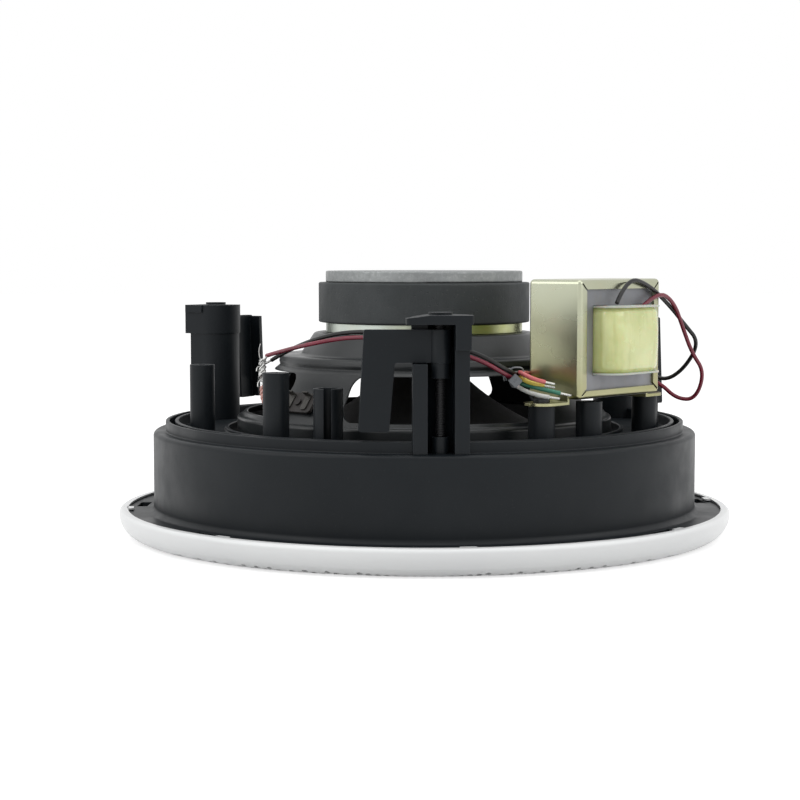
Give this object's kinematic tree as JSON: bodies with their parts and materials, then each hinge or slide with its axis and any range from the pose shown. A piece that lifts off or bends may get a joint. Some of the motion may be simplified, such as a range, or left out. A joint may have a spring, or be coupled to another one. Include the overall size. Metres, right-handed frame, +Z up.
{
  "type": "recessed ceiling loudspeaker",
  "caption": "Round recessed ceiling loudspeaker with a perforated grille, cone driver, spring-out mounting clamps and a line-matching transformer, lying face down.",
  "frame": {"origin": "centre of the grille's front face, on the surface that the loudspeaker lies on face down", "axes": "+Z up through the driver's magnet, away from the room; -Y is the side the picture was taken from"},
  "size_m": [0.231, 0.231, 0.0989],
  "materials": {
    "black_moulding": "fine matt moulding, faintly slate",
    "white_enamel": "smooth powder coat",
    "black_paint": "semi-matt stove paint",
    "card": "pressed card",
    "roll_rubber": "matt rubber",
    "spider_cloth": "resin-stiffened cloth",
    "zinc_plate": "zinc plated, faint yellow-green",
    "ferrite": "ground ferrite, matt dark grey",
    "bright_steel": "zinc plated, scuffed",
    "screw_steel": "zinc plated",
    "fibre_board": "phenolic board",
    "tinned_tag": "tinned copper",
    "core_steel": "stacked lamination edges",
    "white_bobbin": "natural nylon",
    "yellow_tape": "yellow polyester tape",
    "yellow_zinc": "yellow passivated zinc",
    "lead_black": "PVC insulation",
    "lead_red": "PVC insulation",
    "lead_orange": "PVC insulation",
    "lead_yellow": "PVC insulation",
    "lead_green": "PVC insulation",
    "lead_white": "PVC insulation",
    "lead_pink": "thin twisted pair",
    "grey_tie": "grey band",
    "cone_paper": "pressed paper",
    "coil_former": "thin foil",
    "copper": "enamelled wire"
  },
  "bodies": {
    "housing": {"housing": "black_moulding", "flange": "black_moulding", "baffle": "black_moulding", "posts": "black_moulding", "tower_1": "black_moulding", "tower_2": "black_moulding", "tower_3": "black_moulding", "grille": "white_enamel", "grille_rim": "white_enamel", "basket": "black_paint", "basket_legs": "black_paint", "basket_landing": "black_paint", "basket_top": "black_paint", "gasket": "card", "surround": "roll_rubber", "spider": "spider_cloth", "top_plate": "zinc_plate", "magnet": "ferrite", "yoke": "bright_steel", "driver_screws": "screw_steel", "terminal_strip": "fibre_board", "terminal_tags": "tinned_tag", "laminations": "core_steel", "bobbin": "white_bobbin", "winding": "yellow_tape", "bracket": "yellow_zinc", "transformer_screws": "screw_steel", "input_block": "black_moulding", "primary_lead_black": "lead_black", "primary_lead_red": "lead_red", "speaker_lead_red": "lead_red", "speaker_lead_black": "lead_black", "tap_lead_orange": "lead_orange", "tap_lead_yellow": "lead_yellow", "tap_lead_green": "lead_green", "tap_lead_white": "lead_white", "driver_pair": "lead_pink", "splice": "tinned_tag", "tap_tips": "tinned_tag", "lead_tie": "grey_tie"},
    "cone_unit": {"cone": "cone_paper", "dust_cap": "cone_paper", "former": "coil_former", "voice_coil": "copper"},
    "clamp_1": {"clamp_1": "black_moulding"},
    "clamp_screw_1": {"clamp_screw_1": "screw_steel"},
    "clamp_2": {"clamp_2": "black_moulding"},
    "clamp_screw_2": {"clamp_screw_2": "screw_steel"},
    "clamp_3": {"clamp_3": "black_moulding"},
    "clamp_screw_3": {"clamp_screw_3": "screw_steel"}
  },
  "joints": [
    {"name": "cone_travel", "type": "slide", "parent": "housing", "child": "cone_unit", "axis": [0, 0, 1], "range_m": [-0.003, 0.003], "stiffness_N_per_m": 1600, "deforming": ["surround", "spider"]},
    {"name": "clamp_1_swing", "type": "hinge", "parent": "housing", "child": "clamp_1", "pos_m": [0.00541, -0.09384, 0.07], "axis": [0, 0, 1], "range_deg": [0, 90]},
    {"name": "clamp_screw_1_spin", "type": "hinge", "parent": "housing", "child": "clamp_screw_1", "pos_m": [0.00541, -0.09384, 0.05], "axis": [0, 0, 1], "continuous": true},
    {"name": "clamp_2_swing", "type": "hinge", "parent": "housing", "child": "clamp_2", "pos_m": [-0.08398, 0.04224, 0.07], "axis": [0, 0, 1], "range_deg": [0, 90]},
    {"name": "clamp_screw_2_spin", "type": "hinge", "parent": "housing", "child": "clamp_screw_2", "pos_m": [-0.08398, 0.04224, 0.05], "axis": [0, 0, 1], "continuous": true},
    {"name": "clamp_3_swing", "type": "hinge", "parent": "housing", "child": "clamp_3", "pos_m": [0.07857, 0.05161, 0.07], "axis": [0, 0, 1], "range_deg": [0, 90]},
    {"name": "clamp_screw_3_spin", "type": "hinge", "parent": "housing", "child": "clamp_screw_3", "pos_m": [0.07857, 0.05161, 0.05], "axis": [0, 0, 1], "continuous": true}
  ]
}
